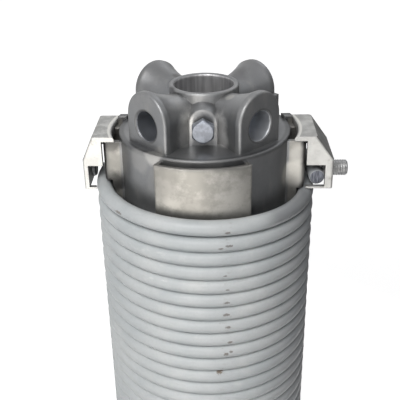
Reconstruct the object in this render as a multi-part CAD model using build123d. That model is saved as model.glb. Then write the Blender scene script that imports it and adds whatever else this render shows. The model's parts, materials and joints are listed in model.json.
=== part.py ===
from build123d import *
import math
import os

# Gate torsion spring with its winding head and its fixed head.
# Millimetres, +Z up, front is -Y. The origin is the centre of the resting face of the fixed head.
# Azimuths are degrees from the front, growing towards +X.

# Spring
SPRING_ID = 95.0
WIRE_D = 7.5
COIL_GAP = 0.1
WHOLE_TURNS = 36
END_Z = 19.0
END_LIFT = 1.6
END_LIFT_ANGLE = 540.0
END_AZIMUTH = 77.5
TAIL_AZIMUTH = 94.0
FLARE_AZIMUTHS = (112.0, 152.0)
PATH_STEP = 10.0

# Fits
PAD_FIT = 0.3
SEAT_GAP = 0.15
SCREW_FIT = 0.05
CLIP_GAP = 0.2
BUSH_FIT = 0.05

# Tube and drum of a head. The drum's top is a height over the plane between the second and third coils,
# and a rise is a height over the drum's top
SHAFT_BORE_D = 25.8
MOUTH_STEP = 1.55
MOUTH_DEPTH = 12.0
TUBE_WALL = 2.55
TUBE_RISE = 22.6
RIM_FILLET = 0.9
DRUM_TOP_Z = 41.0
DRUM_WALL = 4.5
DRUM_SHOULDER = 0.7
DISC_THICKNESS = 7.0
HEAD_BOTTOM_Z = -14.0
INNER_RIBS = 8
INNER_RIB_THICKNESS = 4.0
INNER_RIB_RECESS = 4.0
INNER_RIB_OVERLAP = 2.0

# Hollow pads at the front and the rear
PAD_DEPTH = 5.0
PAD_DROP = 2.0
PAD_HALF_ANGLE = 28.0
PAD_WALL = 1.8
PAD_FLOOR_Z = 24.0
PAD_EDGE = 0.5

# Side pads that carry the clips
SIDE_AZIMUTHS = {"left": -90.0, "right": 90.0}
SIDE_PAD_WALL = 2.0
SIDE_PAD_FRONT_WALL = 2.5
SIDE_PAD_CORNER = 2.0
SIDE_PAD_HALF_WIDTH = 14.2
SIDE_POCKET_DEPTH = 6.1
SIDE_POCKET_REAR = 4.3
SIDE_POCKET_FLOOR_Z = 29.0
SIDE_LUG = 3.7
SIDE_LUG_RISE = 1.8

# Winding ears
EAR_AZIMUTHS = (-45.0, 45.0, 135.0, 225.0)
EAR_FACE_R = 37.0
EAR_WIDTH = 26.8
EAR_RISE = 26.4
EAR_PLATE = 3.0
EAR_EDGE = 1.0
EAR_HOLE_RISE = 10.2
EAR_HOLE_D = 14.4
EAR_HOLE_FLOOR = 2.0
EAR_HOLE_CHAMFER = 0.6
EAR_NECK_WIDTH = 20.0
EAR_NECK_DROP = 1.6
EAR_FLARE = 0.25
SHOULDER_AZIMUTH = 135.0
SHOULDER_RISE = 11.8
SHOULDER_OVERHANG = 2.7
SHOULDER_SETBACK = 0.4

# Bosses and shaft set screws
BOSS_AZIMUTHS = {"front": 0.0, "rear": 180.0}
BOSS_FACE_R = 24.0
BOSS_WIDTH = 12.8
BOSS_ROOT_WIDTH = 17.0
BOSS_CROWN = 8.9
BOSS_ROOT_DROP = 3.4
SET_SCREW_RISE = 8.5
SET_SCREW_D = 6.0
SET_SCREW_AF = 10.0
SET_SCREW_HEAD = 4.0
SET_SCREW_STANDOFF = 2.0
SET_SCREW_CROWN = 0.3

# Clips. Their knee, window and foot take their heights from the wire's end
CLIP_SHEET = 2.4
CLIP_SIDE_OVERHANG = 1.0
CLIP_OVERHANG = 3.7
CLIP_FLANK_SETBACK = 0.9
CLIP_TO_WIRE = {"left": 1.9, "right": 2.25}
CLIP_KNEE_RISE = 10.6
CLIP_WINDOW_RISE = 7.7
CLIP_FOOT_DROP = 4.7
CLIP_FOOT = 1.0
CLIP_BEND = 1.2
CLIP_STRIP = {"left": 2.6, "right": 4.0}
HOOK_DEPTH = 6.0
HOOK_BEND = 1.4

# Clamp screws
CLAMP_SCREW_D = 8.0
CLAMP_SCREW_PROUD = {"left": 0.2, "right": 9.0}
CLAMP_SOCKET_AF = 4.0
CLAMP_SOCKET_DEPTH = 2.2
CLAMP_CHAMFER = 0.8

# Flange and bush of the fixed head
FLANGE_R = 76.0
FLANGE_THICKNESS = 9.0
FLANGE_EDGE = 1.5
FLANGE_HOLE_D = 11.0
FLANGE_HOLE_INSET = 9.0
FLANGE_HOLE_AZIMUTHS = (-45.0, 45.0, 135.0, 225.0)
FLANGE_TO_CLIP = 6.0
FLANGE_NECK_SETBACK = 6.2
BUSH_WALL = 3.1
BUSH_LENGTH = 40.0
BUSH_RIM = 3.5
BUSH_FLANGE = 2.0
ANCHOR_TUBE_WALL = 4.5

# How far a cut or a joined block reaches past a face
REACH = 1.0

WIRE_R = WIRE_D / 2
COIL_R = SPRING_ID / 2 + WIRE_R
PITCH = WIRE_D + COIL_GAP
SHAFT_BORE_R = SHAFT_BORE_D / 2
MOUTH_R = SHAFT_BORE_R + MOUTH_STEP
TUBE_R = MOUTH_R + TUBE_WALL
TUBE_TOP_Z = DRUM_TOP_Z + TUBE_RISE
PAD_R = SPRING_ID / 2 - PAD_FIT
PAD_TOP_Z = DRUM_TOP_Z - PAD_DROP
DRUM_R = PAD_R - PAD_DEPTH
DRUM_INNER_R = DRUM_R - DRUM_WALL
DISC_BOTTOM_Z = DRUM_TOP_Z - DISC_THICKNESS
SIDE_POCKET_R = DRUM_R + SIDE_POCKET_DEPTH
SIDE_POCKET_FRONT = SIDE_PAD_HALF_WIDTH - SIDE_PAD_FRONT_WALL
SIDE_PAD_R = SIDE_POCKET_R + SIDE_PAD_WALL
SIDE_LUG_TOP_Z = DRUM_TOP_Z + SIDE_LUG_RISE
EAR_TOP_Z = DRUM_TOP_Z + EAR_RISE
EAR_HOLE_Z = DRUM_TOP_Z + EAR_HOLE_RISE
EAR_HOLE_BOTTOM_R = TUBE_R + EAR_HOLE_FLOOR
EAR_NECK_TOP_Z = TUBE_TOP_Z - EAR_NECK_DROP
SHOULDER_TOP_Z = DRUM_TOP_Z + SHOULDER_RISE
SHOULDER_HALF_WIDTH = EAR_WIDTH / 2 + SHOULDER_OVERHANG
SET_SCREW_Z = DRUM_TOP_Z + SET_SCREW_RISE
BOSS_TOP_Z = SET_SCREW_Z + BOSS_CROWN
BOSS_ROOT_TOP_Z = TUBE_TOP_Z - BOSS_ROOT_DROP
TAIL_R = SIDE_PAD_R + SEAT_GAP + WIRE_R
TAIL_OUT_R = TAIL_R + WIRE_R + CLIP_GAP
COIL_OUT_R = COIL_R + WIRE_R + CLIP_GAP
CLIP_HALF_WIDTH = SIDE_PAD_HALF_WIDTH + CLIP_SIDE_OVERHANG
CLIP_TOP_Z = PAD_TOP_Z + CLIP_GAP + CLIP_SHEET
CLIP_KNEE_Z = END_Z + CLIP_KNEE_RISE
CLIP_WINDOW_TOP_Z = END_Z + CLIP_WINDOW_RISE
CLIP_FOOT_Z = END_Z - CLIP_FOOT_DROP
CLIP_INNER_R = SIDE_POCKET_R - CLIP_GAP - CLIP_SHEET
CLIP_FLANK_R = SIDE_PAD_R - CLIP_FLANK_SETBACK
CLIP_TOP_R = SIDE_PAD_R + CLIP_OVERHANG
CLIP_LEG_R = {
    "left": COIL_R + WIRE_R + CLIP_TO_WIRE["left"] + CLIP_SHEET,
    "right": TAIL_R + WIRE_R + CLIP_TO_WIRE["right"] + CLIP_SHEET,
}
CLAMP_SCREW_R = CLAMP_SCREW_D / 2
TURN_ANGLE = 360.0 * WHOLE_TURNS + 180.0 - 2.0 * END_AZIMUTH
FLANGE_INNER_Z = CLIP_TOP_Z + FLANGE_TO_CLIP
FLANGE_FACE_Z = FLANGE_INNER_Z + FLANGE_THICKNESS
FLANGE_HOLE_R = FLANGE_R - FLANGE_HOLE_INSET
FLANGE_NECK_R = DRUM_R - FLANGE_NECK_SETBACK
BUSH_R = SHAFT_BORE_R + BUSH_WALL
BUSH_FLANGE_R = BUSH_R + BUSH_RIM
ANCHOR_TUBE_R = BUSH_R + ANCHOR_TUBE_WALL
TOP_LIFT = FLANGE_FACE_Z - 2.0 * END_Z + 2.0 * END_LIFT + PITCH * TURN_ANGLE / 360.0


def at(radius, azimuth, z=0.0):
    """Point at a radius, an azimuth and a height."""
    angle = math.radians(azimuth)
    return Vector(radius * math.sin(angle), -radius * math.cos(angle), z)


def turned(shape, azimuth):
    """Shape that was modelled towards +X, turned to an azimuth."""
    return shape.rotate(Axis.Z, azimuth - 90.0)


def rear_up(shape, azimuth):
    """Shape with its rear towards +Y, mirrored where turning it would bring its rear to the front."""
    return shape if azimuth > 0 else shape.mirror(Plane.XZ)


def at_top(shape):
    """Shape of an end, lifted to the winding end."""
    return Pos(0, 0, TOP_LIFT) * shape


def at_bottom(shape):
    """Shape of an end, turned over to the fixed end."""
    return Pos(0, 0, FLANGE_FACE_Z) * shape.rotate(Axis.X, 180.0)


def smooth(share):
    """Smooth step from 0 to 1."""
    share = min(max(share, 0.0), 1.0)
    return share * share * (3.0 - 2.0 * share)


def end_radius(azimuth):
    """Radius of the wire's centre line: the tail runs straight, past the side pad, then joins the coils."""
    if azimuth < TAIL_AZIMUTH:
        return TAIL_R / math.cos(math.radians(TAIL_AZIMUTH - azimuth))
    first, last = FLARE_AZIMUTHS
    return TAIL_R + (COIL_R - TAIL_R) * smooth((azimuth - first) / (last - first))


def end_height(azimuth):
    """Height of the wire's centre line: the first coils stand a little apart."""
    run = azimuth - END_AZIMUTH
    return END_Z - PITCH * run / 360.0 - END_LIFT * smooth(run / END_LIFT_ANGLE)


def end_path():
    """Centre line of the wire from its cut end to the regular coils."""
    count = round(END_LIFT_ANGLE / PATH_STEP)
    azimuths = [END_AZIMUTH + END_LIFT_ANGLE * step / count for step in range(count + 1)]
    points = [at(end_radius(azimuth), azimuth, end_height(azimuth)) for azimuth in azimuths]
    first = at(1.0, TAIL_AZIMUTH + 90.0, -PITCH / (2.0 * math.pi * COIL_R))
    last = at(1.0, azimuths[-1] + 90.0, -PITCH / (2.0 * math.pi * COIL_R))
    return Spline(*points, tangents=[first, last])


def torsion_spring():
    """One wire: a flared end at each head and the close coils between."""
    upper = at_top(end_path())
    lower = at_bottom(end_path())
    start = upper @ 1
    end = lower @ 1
    coils = Helix(PITCH, start.Z - end.Z, COIL_R, lefthand=True)
    coils = coils.rotate(Axis.Z, math.degrees(math.atan2(end.Y, end.X)))
    coils = Pos(0, 0, end.Z) * coils
    path = Wire([upper, coils, lower])
    section = Plane(path @ 0, z_dir=path % 0) * Circle(WIRE_R)
    return sweep(section, path, is_frenet=True)


def sector(inner, outer, azimuth, half_angle, low, high):
    """Block between two radii, two radial planes and two heights."""
    marks = (azimuth - half_angle, azimuth, azimuth + half_angle)
    outer_arc = ThreePointArc(*[at(outer, mark) for mark in marks])
    inner_arc = ThreePointArc(*[at(inner, mark) for mark in marks])
    sides = [Line(at(inner, mark), at(outer, mark)) for mark in (marks[0], marks[2])]
    face = make_face([outer_arc, inner_arc, *sides])
    return Pos(0, 0, low) * extrude(face, high - low)


def side_block(inner, outer, near, far, low, high):
    """Block on the +X side between two radii and between two values of Y."""
    ring = Circle(outer) - Circle(inner)
    window = Pos(outer / 2, (near + far) / 2) * Rectangle(outer, far - near)
    return Pos(0, 0, low) * extrude(ring & window, high - low)


def shell_profile(bore, tube, tube_top):
    """Half section of the central tube, the disc and the drum, open below."""
    points = [
        (bore, HEAD_BOTTOM_Z),
        (tube, HEAD_BOTTOM_Z),
        (tube, DISC_BOTTOM_Z),
        (DRUM_INNER_R, DISC_BOTTOM_Z),
        (DRUM_INNER_R, HEAD_BOTTOM_Z),
        (DRUM_R, HEAD_BOTTOM_Z),
        (DRUM_R, DRUM_TOP_Z),
        (tube, DRUM_TOP_Z),
        (tube, tube_top),
        (bore, tube_top),
    ]
    face = make_face(Polyline(*[(x, 0, z) for x, z in points], close=True))
    corner = face.vertices().sort_by_distance((DRUM_R, 0, DRUM_TOP_Z))[0]
    return fillet(corner, DRUM_SHOULDER)


def inner_ribs(tube):
    """Radial ribs that tie the drum's wall to the tube, under the disc."""
    low = HEAD_BOTTOM_Z + INNER_RIB_RECESS
    high = DRUM_TOP_Z - DISC_THICKNESS / 2
    inner = tube - INNER_RIB_OVERLAP
    outer = DRUM_R - INNER_RIB_OVERLAP
    rib = Pos((inner + outer) / 2, 0, (low + high) / 2) * Box(
        outer - inner, INNER_RIB_THICKNESS, high - low
    )
    step = 360.0 / INNER_RIBS
    return [turned(rib, step * (index + 0.5)) for index in range(INNER_RIBS)]


def middle_radius(edge):
    """Distance of an edge's middle from the axis."""
    middle = edge @ 0.5
    return math.hypot(middle.X, middle.Y)


def hollow_pad(azimuth):
    """Pad and its pocket, which is open at the top."""
    pad = sector(DRUM_R - REACH, PAD_R, azimuth, PAD_HALF_ANGLE, HEAD_BOTTOM_Z, PAD_TOP_Z)
    rim = pad.edges().filter_by(lambda edge: middle_radius(edge) > PAD_R - PAD_FIT)
    rim = rim.filter_by(lambda edge: (edge @ 0.5).Z > HEAD_BOTTOM_Z + REACH)
    pad = fillet(rim, PAD_EDGE)
    wall_angle = math.degrees(PAD_WALL / PAD_R)
    half_angle = PAD_HALF_ANGLE - wall_angle
    pocket = sector(DRUM_R, PAD_R - PAD_WALL, azimuth, half_angle, PAD_FLOOR_Z, PAD_TOP_Z + REACH)
    return pad, pocket


def seat_height(azimuths):
    """Lowest face that clears the wire under a stretch of azimuths."""
    return max(end_height(azimuth) for azimuth in azimuths) + WIRE_R + SEAT_GAP


def side_pad(azimuth, wire_azimuth):
    """Pad under a clip, with a lug at its rear, and the pocket for the clip's hook."""
    half = SIDE_PAD_HALF_WIDTH
    inner = DRUM_R - REACH
    spread = math.degrees(math.asin(half / SIDE_PAD_R))
    seat = seat_height((wire_azimuth - spread, wire_azimuth + spread))
    pad = side_block(inner, SIDE_PAD_R, -half, half, seat, PAD_TOP_Z)
    pad = fillet(pad.edges().filter_by(Axis.Z).group_by(Axis.X)[-1], SIDE_PAD_CORNER)
    pad += side_block(inner, PAD_R, -half, half, HEAD_BOTTOM_Z, PAD_TOP_Z)
    pad += side_block(
        inner, CLIP_INNER_R - CLIP_GAP, half - SIDE_LUG, half, DISC_BOTTOM_Z, SIDE_LUG_TOP_Z
    )
    pocket = side_block(
        DRUM_R, SIDE_POCKET_R, -SIDE_POCKET_FRONT, SIDE_POCKET_REAR, SIDE_POCKET_FLOOR_Z, PAD_TOP_Z + REACH
    )
    return [turned(rear_up(shape, azimuth), azimuth) for shape in (pad, pocket)]


def head_body(bore, tube, tube_top):
    """What both heads share: tube, drum, ribs and the four pads."""
    body = revolve(shell_profile(bore, tube, tube_top), Axis.Z)
    body += inner_ribs(tube)
    pads = [hollow_pad(azimuth) for azimuth in BOSS_AZIMUTHS.values()]
    pads.append(side_pad(SIDE_AZIMUTHS["right"], SIDE_AZIMUTHS["right"] + 360.0))
    pads.append(side_pad(SIDE_AZIMUTHS["left"], SIDE_AZIMUTHS["left"] + 360.0))
    for pad, _ in pads:
        body += pad
    for _, pocket in pads:
        body -= pocket
    return body


def arch(radius, width, low, top):
    """Upright face at a radius on the +X side, flat below and round above."""
    half = width / 2
    spring_z = top - half
    edges = [
        Line((-half, low), (half, low)),
        Line((half, low), (half, spring_z)),
        ThreePointArc((half, spring_z), (0, top), (-half, spring_z)),
        Line((-half, spring_z), (-half, low)),
    ]
    plane = Plane((radius, 0, 0), x_dir=(0, 1, 0), z_dir=(1, 0, 0))
    return plane * make_face(edges)


def radial_cylinder(radius, inner, outer, z):
    """Cylinder along +X between two radii."""
    return Pos((inner + outer) / 2, 0, z) * Rot(0, 90, 0) * Cylinder(radius, outer - inner)


def ear():
    """Winding ear on the +X side: a face plate on a neck that flares out of the tube."""
    low = DRUM_TOP_Z - REACH
    plate_r = EAR_FACE_R - EAR_PLATE
    plate = extrude(arch(plate_r, EAR_WIDTH, low, EAR_TOP_Z), EAR_PLATE)
    rim = plate.faces().sort_by(Axis.X)[-1].edges()
    plate = fillet(rim.filter_by(lambda edge: (edge @ 0.5).Z > DRUM_TOP_Z), EAR_EDGE)
    flare_width = EAR_NECK_WIDTH + EAR_FLARE * (EAR_WIDTH - EAR_NECK_WIDTH)
    flare_top = EAR_NECK_TOP_Z + EAR_FLARE * (EAR_TOP_Z - EAR_NECK_TOP_Z)
    sections = [
        arch(plate_r, EAR_WIDTH, low, EAR_TOP_Z),
        arch((MOUTH_R + plate_r) / 2, flare_width, low, flare_top),
        arch(MOUTH_R + REACH, EAR_NECK_WIDTH, low, EAR_NECK_TOP_Z),
    ]
    return plate + loft(sections)


def ear_shoulder():
    """Square shoulder beside the foot of one ear, on the +X side."""
    low = DRUM_TOP_Z - REACH
    inner = EAR_FACE_R - 2 * EAR_PLATE
    outer = EAR_FACE_R - SHOULDER_SETBACK
    near = -SHOULDER_HALF_WIDTH
    far = -EAR_WIDTH / 2 + 2 * EAR_EDGE
    middle = ((inner + outer) / 2, (near + far) / 2, (low + SHOULDER_TOP_Z) / 2)
    return Pos(*middle) * Box(outer - inner, far - near, SHOULDER_TOP_Z - low)


def ear_socket():
    """Blind hole of an ear for the winding bar."""
    radius = EAR_HOLE_D / 2
    face = EAR_FACE_R + REACH
    hole = radial_cylinder(radius, EAR_HOLE_BOTTOM_R, face, EAR_HOLE_Z)
    depth = EAR_HOLE_CHAMFER + REACH
    mouth = Cone(radius, radius + depth, depth)
    return hole + Pos(face - depth / 2, 0, EAR_HOLE_Z) * Rot(0, 90, 0) * mouth


def boss():
    """Screw boss on the +X side, tapered towards its face."""
    low = DRUM_TOP_Z - REACH
    root = arch(MOUTH_R + REACH, BOSS_ROOT_WIDTH, low, BOSS_ROOT_TOP_Z)
    face = arch(BOSS_FACE_R, BOSS_WIDTH, low, BOSS_TOP_Z)
    return loft([root, face])


def winding_head():
    """Casting with the ears, the bosses, the drum and the pads."""
    body = head_body(SHAFT_BORE_R, TUBE_R, TUBE_TOP_Z)
    for azimuth in EAR_AZIMUTHS:
        body += turned(ear(), azimuth)
    for azimuth in BOSS_AZIMUTHS.values():
        body += turned(boss(), azimuth)
    body += turned(ear_shoulder(), SHOULDER_AZIMUTH)
    bore_length = TUBE_TOP_Z - HEAD_BOTTOM_Z + 2 * REACH
    body -= Pos(0, 0, (TUBE_TOP_Z + HEAD_BOTTOM_Z) / 2) * Cylinder(SHAFT_BORE_R, bore_length)
    mouth_length = MOUTH_DEPTH + REACH
    body -= Pos(0, 0, TUBE_TOP_Z + REACH - mouth_length / 2) * Cylinder(MOUTH_R, mouth_length)
    rims = body.edges().filter_by(GeomType.CIRCLE)
    rims = rims.filter_by(lambda edge: abs(edge.center().Z - TUBE_TOP_Z) < PAD_FIT)
    body = fillet(rims.filter_by(lambda edge: edge.length > 2 * RIM_FILLET), RIM_FILLET)
    for azimuth in EAR_AZIMUTHS:
        body -= turned(ear_socket(), azimuth)
    hole_r = SET_SCREW_D / 2 + SCREW_FIT
    screw_hole = radial_cylinder(hole_r, SHAFT_BORE_R - REACH, BOSS_FACE_R + REACH, SET_SCREW_Z)
    for azimuth in BOSS_AZIMUTHS.values():
        body -= turned(screw_hole, azimuth)
    return body


def set_screw(azimuth):
    """Hex-head screw that is backed off from the shaft."""
    head_r = BOSS_FACE_R + SET_SCREW_STANDOFF
    shank = radial_cylinder(SET_SCREW_D / 2, SHAFT_BORE_R + SEAT_GAP, head_r, SET_SCREW_Z)
    plane = Plane((head_r, 0, SET_SCREW_Z), x_dir=(0, 1, 0), z_dir=(1, 0, 0))
    outline = RegularPolygon(SET_SCREW_AF / 2, 6, major_radius=False, rotation=30)
    head = extrude(plane * outline, SET_SCREW_HEAD)
    crown_r = SET_SCREW_AF / 2 - SET_SCREW_CROWN
    crown = Cone(crown_r + SET_SCREW_HEAD, crown_r, SET_SCREW_HEAD)
    head &= Pos(head_r + SET_SCREW_HEAD / 2, 0, SET_SCREW_Z) * Rot(0, 90, 0) * crown
    return turned(shank + head, azimuth)


def clip_profile(leg_r, inset):
    """Outline of a clip's web and outer wall in X and Z, moved inwards by an inset and open to the head."""
    slope_x = leg_r - CLIP_TOP_R
    slope_z = CLIP_TOP_Z - CLIP_KNEE_Z
    slope = math.hypot(slope_x, slope_z)
    opening = REACH if inset > 0 else 0.0
    top = CLIP_TOP_Z - inset
    leg = leg_r - inset
    top_corner = CLIP_TOP_R + inset * (slope_x - slope) / slope_z
    knee = CLIP_KNEE_Z + inset * (slope_z - slope) / slope_x
    return [
        (CLIP_FLANK_R - opening, top),
        (top_corner, top),
        (leg, knee),
        (leg, CLIP_FOOT_Z - opening),
        (CLIP_FLANK_R - opening, CLIP_FOOT_Z - opening),
    ]


def clip_prism(points, half_width):
    """Prism of an X and Z outline, centred on the clip's middle plane."""
    face = make_face(Polyline(*[(x, 0, z) for x, z in points], close=True))
    return extrude(face, half_width, dir=(0, 1, 0), both=True)


def folded_shell(leg_r):
    """Clip before it is cut out: outer wall and two flanks with rounded bends."""
    body = clip_prism(clip_profile(leg_r, 0.0), CLIP_HALF_WIDTH)
    bends = body.edges().filter_by(lambda edge: edge.center().X > CLIP_TOP_R - REACH)
    bends = bends.filter_by(lambda edge: edge.center().Z > CLIP_FOOT_Z + REACH)
    body = fillet(bends.filter_by(lambda edge: abs(edge.center().Y) > REACH), CLIP_BEND)
    return body - clip_prism(clip_profile(leg_r, CLIP_SHEET), CLIP_HALF_WIDTH - CLIP_SHEET)


def clip_web():
    """Flat top of a clip and the curved hook that it bends into, down behind the wall of the pocket."""
    half = CLIP_HALF_WIDTH
    low = CLIP_TOP_Z - CLIP_SHEET
    web = side_block(CLIP_INNER_R, CLIP_TOP_R + REACH, -half, half, low, CLIP_TOP_Z)
    web &= Pos(CLIP_TOP_R - CLIP_BEND - half, 0, CLIP_TOP_Z) * Box(2 * half, 2 * half, 4 * CLIP_SHEET)
    front = CLIP_GAP - SIDE_POCKET_FRONT
    rear = SIDE_POCKET_REAR - CLIP_GAP
    hook_low = CLIP_TOP_Z - HOOK_DEPTH
    web += side_block(CLIP_INNER_R, CLIP_INNER_R + CLIP_SHEET, front, rear, hook_low, CLIP_TOP_Z)
    bend = web.edges().filter_by(lambda edge: abs((edge @ 0.5).Z - CLIP_TOP_Z) < PAD_FIT)
    bend = bend.filter_by(lambda edge: abs(middle_radius(edge) - CLIP_INNER_R) < PAD_FIT)
    return fillet(bend, HOOK_BEND)


def flank_window(side):
    """Window through both flanks of a clip, over the wire."""
    low = CLIP_FOOT_Z + CLIP_FOOT
    inner = CLIP_FLANK_R - REACH
    outer = CLIP_LEG_R[side] - CLIP_STRIP[side]
    size = (outer - inner, 2 * CLIP_HALF_WIDTH + 2 * REACH, CLIP_WINDOW_TOP_Z - low)
    return Pos((inner + outer) / 2, 0, (low + CLIP_WINDOW_TOP_Z) / 2) * Box(*size)


def foot_cut(side):
    """What the feet of a clip leave free for the wire; the front foot of the right clip lies over a coil."""
    low = CLIP_FOOT_Z - REACH
    high = CLIP_FOOT_Z + CLIP_FOOT + REACH
    if side == "left":
        return side_block(CLIP_INNER_R, COIL_OUT_R, -COIL_OUT_R, COIL_OUT_R, low, high)
    return side_block(CLIP_INNER_R, TAIL_OUT_R, 0.0, TAIL_OUT_R, low, high)


def clip(side):
    """Folded clip on the +X side with its rear towards +Y."""
    leg_r = CLIP_LEG_R[side]
    body = folded_shell(leg_r) - flank_window(side) - foot_cut(side) + clip_web()
    hole_r = CLAMP_SCREW_R + SCREW_FIT
    return body - radial_cylinder(hole_r, leg_r - CLIP_SHEET - REACH, leg_r + REACH, clamp_height())


def clamp_height():
    """Height of the clamp screws: the wire's centre under the right clip."""
    return end_height(SIDE_AZIMUTHS["right"])


def clamp_screw(side):
    """Grub screw on the +X side from the wire's flank outwards."""
    tip = COIL_R + WIRE_R + SEAT_GAP
    if side == "right":
        slant = math.radians(TAIL_AZIMUTH - SIDE_AZIMUTHS["right"])
        tip_r = CLAMP_SCREW_R - CLAMP_CHAMFER
        tip = (TAIL_R + WIRE_R + tip_r * math.sin(slant)) / math.cos(slant) + SEAT_GAP
    out = CLIP_LEG_R[side] + CLAMP_SCREW_PROUD[side]
    body = radial_cylinder(CLAMP_SCREW_R, tip, out, clamp_height())
    body = chamfer(body.edges().filter_by(GeomType.CIRCLE), CLAMP_CHAMFER)
    plane = Plane((out, 0, clamp_height()), x_dir=(0, 1, 0), z_dir=(1, 0, 0))
    socket = plane * RegularPolygon(CLAMP_SOCKET_AF / 2, 6, major_radius=False)
    return body - extrude(socket, -CLAMP_SOCKET_DEPTH)


def anchor_head():
    """Fixed head: the same drum and pads with a plain flange."""
    body = head_body(BUSH_R + BUSH_FIT, ANCHOR_TUBE_R, FLANGE_FACE_Z)
    neck_height = FLANGE_INNER_Z - DRUM_TOP_Z + 2 * REACH
    body += Pos(0, 0, FLANGE_INNER_Z + REACH - neck_height / 2) * Cylinder(FLANGE_NECK_R, neck_height)
    flange = Cylinder(FLANGE_R, FLANGE_THICKNESS)
    flange = fillet(flange.edges().filter_by(GeomType.CIRCLE), FLANGE_EDGE)
    body += Pos(0, 0, FLANGE_FACE_Z - FLANGE_THICKNESS / 2) * flange
    for azimuth in FLANGE_HOLE_AZIMUTHS:
        hole = Cylinder(FLANGE_HOLE_D / 2, FLANGE_THICKNESS + 2 * REACH)
        body -= Pos(*at(FLANGE_HOLE_R, azimuth, FLANGE_FACE_Z - FLANGE_THICKNESS / 2)) * hole
    bore_middle = (FLANGE_FACE_Z + HEAD_BOTTOM_Z) / 2
    bore_length = FLANGE_FACE_Z - HEAD_BOTTOM_Z + 2 * REACH
    body -= Pos(0, 0, bore_middle) * Cylinder(BUSH_R + BUSH_FIT, bore_length)
    seat_length = BUSH_FLANGE + CLIP_GAP + REACH
    seat = Cylinder(BUSH_FLANGE_R + BUSH_FIT, seat_length)
    body -= Pos(0, 0, FLANGE_FACE_Z + REACH - seat_length / 2) * seat
    return body


def shaft_bush():
    """Flanged plain bush in which the shaft turns at the fixed end."""
    top = FLANGE_FACE_Z - CLIP_GAP
    body = Pos(0, 0, top - BUSH_LENGTH / 2) * Cylinder(BUSH_R, BUSH_LENGTH)
    body += Pos(0, 0, top - BUSH_FLANGE / 2) * Cylinder(BUSH_FLANGE_R, BUSH_FLANGE)
    body -= Pos(0, 0, top - BUSH_LENGTH / 2) * Cylinder(SHAFT_BORE_R, BUSH_LENGTH + 2 * REACH)
    return body


def end_fittings(place, prefix):
    """Clips and clamp screws of one end."""
    for side, azimuth in SIDE_AZIMUTHS.items():
        write(place(turned(rear_up(clip(side), azimuth), azimuth)), f"{prefix}_clip_{side}")
        write(place(turned(clamp_screw(side), azimuth)), f"{prefix}_clamp_screw_{side}")


def write(shape, name):
    """One STEP file for one piece."""
    export_step(shape, f"parts/{name}.step")


def main():
    os.makedirs("parts", exist_ok=True)
    write(torsion_spring(), "torsion_spring")
    write(at_top(winding_head()), "winding_head")
    write(at_bottom(anchor_head()), "anchor_head")
    write(at_bottom(shaft_bush()), "shaft_bush")
    for side, azimuth in BOSS_AZIMUTHS.items():
        write(at_top(set_screw(azimuth)), f"winding_set_screw_{side}")
    end_fittings(at_top, "winding")
    end_fittings(at_bottom, "anchor")


main()
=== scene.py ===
import json
import math

import bpy
import numpy as np
from mathutils import Matrix, Vector


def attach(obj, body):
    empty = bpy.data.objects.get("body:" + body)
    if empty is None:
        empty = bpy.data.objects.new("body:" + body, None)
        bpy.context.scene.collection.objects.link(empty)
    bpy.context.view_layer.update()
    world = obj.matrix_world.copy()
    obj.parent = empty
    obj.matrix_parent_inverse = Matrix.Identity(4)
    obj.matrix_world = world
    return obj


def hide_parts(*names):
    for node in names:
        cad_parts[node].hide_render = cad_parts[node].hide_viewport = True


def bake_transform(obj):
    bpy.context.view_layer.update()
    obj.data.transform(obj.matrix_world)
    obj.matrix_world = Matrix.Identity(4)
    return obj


# Gate spring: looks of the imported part, in the frame of the part's source.
# Azimuths are degrees from the front (-Y), growing towards +X.
# Each end of the spring has heights of its own, here called levels. They start between the end's second and
# third coils, as seen from the front, and grow outwards along the axis.

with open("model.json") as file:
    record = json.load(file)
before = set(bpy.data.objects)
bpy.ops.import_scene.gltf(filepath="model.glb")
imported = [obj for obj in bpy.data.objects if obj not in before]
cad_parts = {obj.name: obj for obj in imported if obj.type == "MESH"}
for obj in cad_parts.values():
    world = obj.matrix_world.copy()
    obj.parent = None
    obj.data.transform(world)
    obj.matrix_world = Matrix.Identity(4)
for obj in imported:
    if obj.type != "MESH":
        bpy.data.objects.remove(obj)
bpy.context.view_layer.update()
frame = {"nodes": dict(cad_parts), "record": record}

MM = 0.001

# Spring, as in the part's source: lengths in mm, angles in degrees
COIL_R = 51.25
WIRE_R = 3.75
PITCH = 7.6
TAIL_R = 54.2
TAIL_AZIMUTH = 94.0
FLARE_AZIMUTHS = (112.0, 152.0)
END_AZIMUTH = 77.5
END_LEVEL = 19.0
END_LIFT = 1.6
END_LIFT_ANGLE = 540.0
WHOLE_TURNS = 36
TURN_ANGLE = 360.0 * WHOLE_TURNS + 180.0 - 2.0 * END_AZIMUTH

# Heights in mm at which the levels of the fixed end and of the winding end are zero
FIXED_ZERO = 56.6
TOP_LIFT = FIXED_ZERO - 2.0 * END_LEVEL + 2.0 * END_LIFT + PITCH * TURN_ANGLE / 360.0


def smooth(share):
    share = min(max(share, 0.0), 1.0)
    return share * share * (3.0 - 2.0 * share)


def end_radius(azimuth):
    """Radius of the wire's centre (mm): straight past the side pad, then flaring into the coils."""
    if azimuth < TAIL_AZIMUTH:
        return TAIL_R / math.cos(math.radians(TAIL_AZIMUTH - azimuth))
    first, last = FLARE_AZIMUTHS
    return TAIL_R + (COIL_R - TAIL_R) * smooth((azimuth - first) / (last - first))


def end_level(azimuth):
    run = azimuth - END_AZIMUTH
    return END_LEVEL - PITCH * run / 360.0 - END_LIFT * smooth(run / END_LIFT_ANGLE)


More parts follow.
